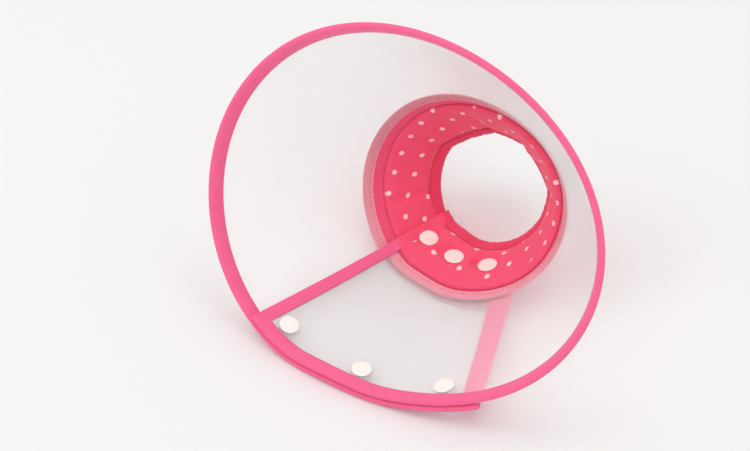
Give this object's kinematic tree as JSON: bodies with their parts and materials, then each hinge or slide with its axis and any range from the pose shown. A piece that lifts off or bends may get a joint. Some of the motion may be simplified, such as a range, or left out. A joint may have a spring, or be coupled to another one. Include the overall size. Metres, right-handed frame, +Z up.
{
  "type": "elizabethan collar",
  "caption": "Translucent wrap-around pet recovery cone with pink bound edges, a padded dotted neck cuff and snap closure, lying on its overlap.",
  "frame": {"origin": "bottom centre of the collar's box, on the table that it lies on", "axes": "+Z up from the table; the mouth faces -Y and the neck +Y; +X across the mouth"},
  "size_m": [0.253, 0.2052, 0.1972],
  "materials": {
    "frosted_pvc": "frosted translucent, satin",
    "binding_tape": "woven bias tape",
    "dotted_lining": "soft printed cotton, small pale dots",
    "cuff_fabric": "plain woven cotton",
    "padding_foam": "polyester wadding",
    "snap_plastic": "satin acetal"
  },
  "bodies": {
    "collar": {"collar_sheet": "frosted_pvc", "collar_rim_binding": "binding_tape", "collar_join_tape": "cuff_fabric", "collar_cuff_padding": "padding_foam", "collar_cuff_fabric": "cuff_fabric", "collar_cuff_lining": "dotted_lining", "collar_hem_binding": "cuff_fabric", "collar_end_binding": "binding_tape", "rim_outer_cap_left": "snap_plastic", "rim_stud_left": "snap_plastic", "rim_outer_cap_middle": "snap_plastic", "rim_stud_middle": "snap_plastic", "rim_outer_cap_right": "snap_plastic", "rim_stud_right": "snap_plastic", "neck_outer_cap_left": "snap_plastic", "neck_stud_left": "snap_plastic", "neck_outer_cap_middle": "snap_plastic", "neck_stud_middle": "snap_plastic", "neck_outer_cap_right": "snap_plastic", "neck_stud_right": "snap_plastic"},
    "closure_flap": {"flap_sheet": "frosted_pvc", "flap_rim_binding": "binding_tape", "flap_join_tape": "cuff_fabric", "flap_cuff_padding": "padding_foam", "flap_cuff_fabric": "cuff_fabric", "flap_cuff_lining": "dotted_lining", "flap_hem_binding": "cuff_fabric", "flap_end_binding": "binding_tape", "rim_socket_left": "snap_plastic", "rim_inner_cap_left": "snap_plastic", "rim_socket_middle": "snap_plastic", "rim_inner_cap_middle": "snap_plastic", "rim_socket_right": "snap_plastic", "rim_inner_cap_right": "snap_plastic", "neck_socket_left": "snap_plastic", "neck_inner_cap_left": "snap_plastic", "neck_socket_middle": "snap_plastic", "neck_inner_cap_middle": "snap_plastic", "neck_socket_right": "snap_plastic", "neck_inner_cap_right": "snap_plastic"}
  },
  "joints": [
    {"name": "flap_opening", "type": "hinge", "parent": "collar", "child": "closure_flap", "pos_m": [0.00055, 0.14656, 0.00819], "axis": [-0.3414, 0.9352, -0.0944], "range_deg": [0, 70]}
  ]
}
